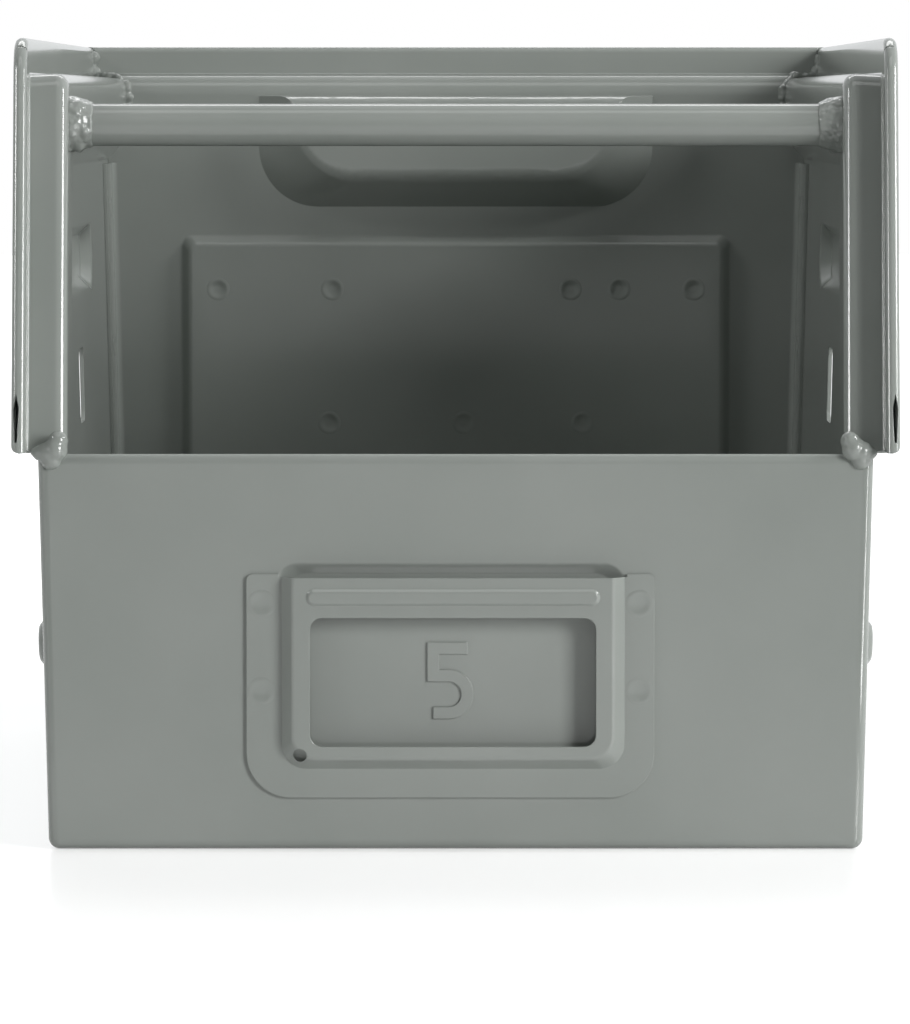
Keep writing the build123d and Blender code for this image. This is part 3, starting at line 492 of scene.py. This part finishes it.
for word, places in (("left", LEFT_CORNER_DROPS), ("right", RIGHT_CORNER_DROPS)):
    drops = [(front_point(x, y, CORNER_DEPTH), radius) for x, y, radius in places]
    fuse_drops(f"{word}_front_corner_weld_metal", drops, f"{word}_front_corner_weld",
               melt_rounds=CORNER_MELT, lump_height=CORNER_LUMPS)

# %% [markdown]
# At the rear the side and rear rims meet in a mitre. The weld climbs the edge of the neck, runs
# out along the shelf and then up between the collars. The route comes from the box of the packed
# weld, so it stays on its seam. The largest drop lies where the weld turns upward, and another
# large one is where it starts.

# %% Rear corner welds
SEAM_SEED = 70
SEAM_STEP = mm(1.3)
SEAM_KNOT = mm(1.8)
SEAM_LIP = mm(3)
SEAM_FOOT_IN = mm(0.2)
SEAM_TOP_OUT = mm(0.6)
SEAM_JITTER = mm(0.35)
SEAM_RADIUS = (1.0, 1.7)
START_RADIUS = 1.9
TURN_RADIUS = 2.3
TURN_RISE = mm(1.2)
COLLAR = mm(8.5)

for side, word in ((-1, "left"), (1, "right")):
    dice = random.Random(SEAM_SEED + side)
    low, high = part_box(f"{word}_rear_corner_weld")
    inner_x = min(abs(low.x), abs(high.x)) + SEAM_KNOT
    outer_x = max(abs(low.x), abs(high.x)) - SEAM_KNOT + SEAM_TOP_OUT
    shelf = high.z - COLLAR
    route = [
        Vector((side * (inner_x - SEAM_FOOT_IN), low.y + SEAM_KNOT, low.z + SEAM_KNOT)),
        Vector((side * inner_x, low.y + SEAM_KNOT, shelf - SEAM_LIP)),
        Vector((side * (inner_x + SEAM_LIP), low.y + SEAM_KNOT + SEAM_LIP, shelf)),
        Vector((side * outer_x, high.y - SEAM_KNOT, shelf)),
        Vector((side * outer_x, high.y - SEAM_KNOT, high.z - SEAM_KNOT)),
    ]
    drops = []
    for start, end in zip(route, route[1:]):
        count = max(2, round((end - start).length / SEAM_STEP))
        for place in range(count):
            jitter = Vector(dice.uniform(-1, 1) for _ in range(3)) * SEAM_JITTER
            centre = start.lerp(end, place / count) + jitter
            drops.append((centre, dice.uniform(*SEAM_RADIUS)))
    drops.append((route[3] + Vector((0, 0, TURN_RISE)), TURN_RADIUS))
    drops.append((route[0], START_RADIUS))
    fuse_drops(f"{word}_rear_corner_weld_metal", drops, f"{word}_rear_corner_weld")

# %% [markdown]
# A white floor and a white room behind it are all that the photograph shows. The floor is white
# acrylic sheet, which gives the eye a soft shadow and a faint, blurred mirror image of the bin.
# To the camera it also glows, up to paper white far off and less near the bin, where the
# photograph has a pale grey: the weaker glow there is painted shade round the bin. In the paint's
# reflections it glows evenly. The glow is added to the ordinary surface, so the real shadow stays.

# %% Floor
FLOOR_WHITE = "#EFEFEF"
FLOOR_ROUGHNESS = 0.25
FLOOR_SIDE = 12  # metres
FLOOR_DROP = mm(0.05)
# The lowest glow, near the bin, paints shade on the floor round it.
PAINTED_SHADE_GLOW = 0.4
PAINTED_SHADE_UNTIL, GLOW_FULL_FROM = mm(230), mm(700)
GLOW_MIRRORED = 0.4

select_only()
bpy.ops.mesh.primitive_plane_add(size=FLOOR_SIDE)
floor = bpy.context.object
floor.name = "studio_floor"
acrylic, tree, shader = new_material("white_acrylic_floor")
shader.inputs["Base Color"].default_value = linear(FLOOR_WHITE)
shader.inputs["Roughness"].default_value = FLOOR_ROUGHNESS
ray = add_node(tree, "ShaderNodeLightPath")
place = add_node(tree, "ShaderNodeTexCoord").outputs["Object"]
away = add_node(tree, "ShaderNodeVectorMath", operation="LENGTH", links={0: place})
# The glow is weaker near the bin, which paints shade round it, and full white far off.
glow_share_with_painted_shade = add_node(tree, "ShaderNodeMapRange", links={"Value": away.outputs["Value"]},
                      values={"From Min": PAINTED_SHADE_UNTIL, "From Max": GLOW_FULL_FROM,
                              "To Min": PAINTED_SHADE_GLOW, "To Max": 1.0},
                      interpolation_type="SMOOTHSTEP")
mirror_glow = add_node(tree, "ShaderNodeMath", operation="MULTIPLY",
                       links={0: ray.outputs["Is Glossy Ray"]}, values={1: GLOW_MIRRORED})
glow_level = add_node(tree, "ShaderNodeMath", operation="MULTIPLY_ADD",
                      links={0: ray.outputs["Is Camera Ray"], 1: glow_share_with_painted_shade.outputs["Result"],
                             2: mirror_glow.outputs["Value"]})
glow = add_node(tree, "ShaderNodeEmission", links={"Strength": glow_level.outputs["Value"]})
both = add_node(tree, "ShaderNodeAddShader",
                links={0: shader.outputs["BSDF"], 1: glow.outputs["Emission"]})
output = [node for node in tree.nodes if node.type == "OUTPUT_MATERIAL"][0]
tree.links.new(both.outputs["Shader"], output.inputs["Surface"])
floor.data.materials.append(acrylic)
floor.location.z = -FLOOR_DROP
print("floor is", floor.dimensions.x, "m across")

# %% [markdown]
# The light is plain studio light. A softbox in front, to the viewer's right, lights the front wall
# and reaches into the box, and a weaker one fills from the left. A small strip on each side, high
# and square to the slope, draws the bright lines along the folds of the sloping rim. Two wide ones
# hang above: one over the bin for the shelves and the floor, and one behind it, which draws the
# white line along the bar. Most lamps are placed by an angle round the front and an angle up.

# %% Lights
front_middle = Vector((0, front_y, mm(90)))


def around(azimuth, elevation, distance):
    """A point round the middle of the front; positive azimuth is to the viewer's right."""
    side, rise = math.radians(azimuth), math.radians(elevation)
    level = distance * math.cos(rise)
    return front_middle + Vector((level * math.sin(side), -level * math.cos(side),
                                  distance * math.sin(rise)))


def softbox(name, place, target, width, height, watts):
    """A rectangular area light that points at a target."""
    data = bpy.data.lights.new(name, "AREA")
    data.shape = "RECTANGLE"
    data.size = width
    data.size_y = height
    data.energy = watts
    light = bpy.data.objects.new(name, data)
    light.location = place
    light.rotation_euler = (Vector(target) - Vector(place)).to_track_quat("-Z", "Y").to_euler()
    bpy.context.scene.collection.objects.link(light)
    print(name, [round(part, 2) for part in light.location], watts, "W")


softbox("key_softbox", around(46, 15, 2.0), front_middle, 0.6, 0.8, 27)
softbox("fill_softbox", around(-56, 12, 2.0), front_middle, 0.7, 0.9, 3.6)
softbox("right_strip", around(88, 36, 1.3), front_middle, 0.34, 0.28, 7.6)
softbox("left_strip", around(-88, 36, 1.3), front_middle, 0.3, 0.22, 3.8)
softbox("top_softbox", (0, -0.35, 1.3), (0, -0.1, mm(150)), 0.9, 0.4, 1.8)
softbox("back_softbox", (0, 0.95, 1.1), (0, 0, mm(170)), 1.0, 0.3, 3.4)

# %% [markdown]
# The room is the world's background. Behind the bin stands a white backdrop, and the half of the
# room on the camera's side is dim. A reflection shows the backdrop at its full white, but only a
# small share of it lights the paint, so the inside of the box stays dark. To the camera the whole
# room is white, as in the photograph.

# %% Room
ROOM_TONE = "#F2F4F5"
ROOM_DIM = 0.06
# How far a direction points backward, along Y, where the backdrop starts and where it is full.
BACKDROP_START, BACKDROP_FULL = -0.05, 0.35
BACKDROP_SCATTERED, BACKDROP_MIRRORED = 0.12, 1.0

world = bpy.data.worlds.new("studio_room")
world.use_nodes = True
bpy.context.scene.world = world
room = world.node_tree
room.nodes.clear()
room_ray = add_node(room, "ShaderNodeLightPath")
toward = add_node(room, "ShaderNodeTexCoord").outputs["Generated"]
parts = add_node(room, "ShaderNodeSeparateXYZ", links={"Vector": toward})
behind = add_node(room, "ShaderNodeMapRange", links={"Value": parts.outputs["Y"]},
                  values={"From Min": BACKDROP_START, "From Max": BACKDROP_FULL},
                  interpolation_type="SMOOTHSTEP")
mirrored = add_node(room, "ShaderNodeMapRange",
                    links={"Value": room_ray.outputs["Is Glossy Ray"]},
                    values={"To Min": BACKDROP_SCATTERED, "To Max": BACKDROP_MIRRORED})
room_level = add_node(room, "ShaderNodeMapRange",
                      links={"Value": behind.outputs["Result"],
                             "To Max": mirrored.outputs["Result"]},
                      values={"To Min": ROOM_DIM})
grey_room = add_node(room, "ShaderNodeBackground", values={"Color": linear(ROOM_TONE)},
                     links={"Strength": room_level.outputs["Result"]})
white_room = add_node(room, "ShaderNodeBackground",
                      values={"Color": linear("#FFFFFF"), "Strength": 1.0})
room_mix = add_node(room, "ShaderNodeMixShader",
                    links={0: room_ray.outputs["Is Camera Ray"],
                           1: grey_room.outputs["Background"],
                           2: white_room.outputs["Background"]})
add_node(room, "ShaderNodeOutputWorld", links={"Surface": room_mix.outputs["Shader"]})
bpy.context.scene.view_settings.view_transform = "Standard"
print("room:", len(room.nodes), "nodes; view:",
      bpy.context.scene.view_settings.view_transform)
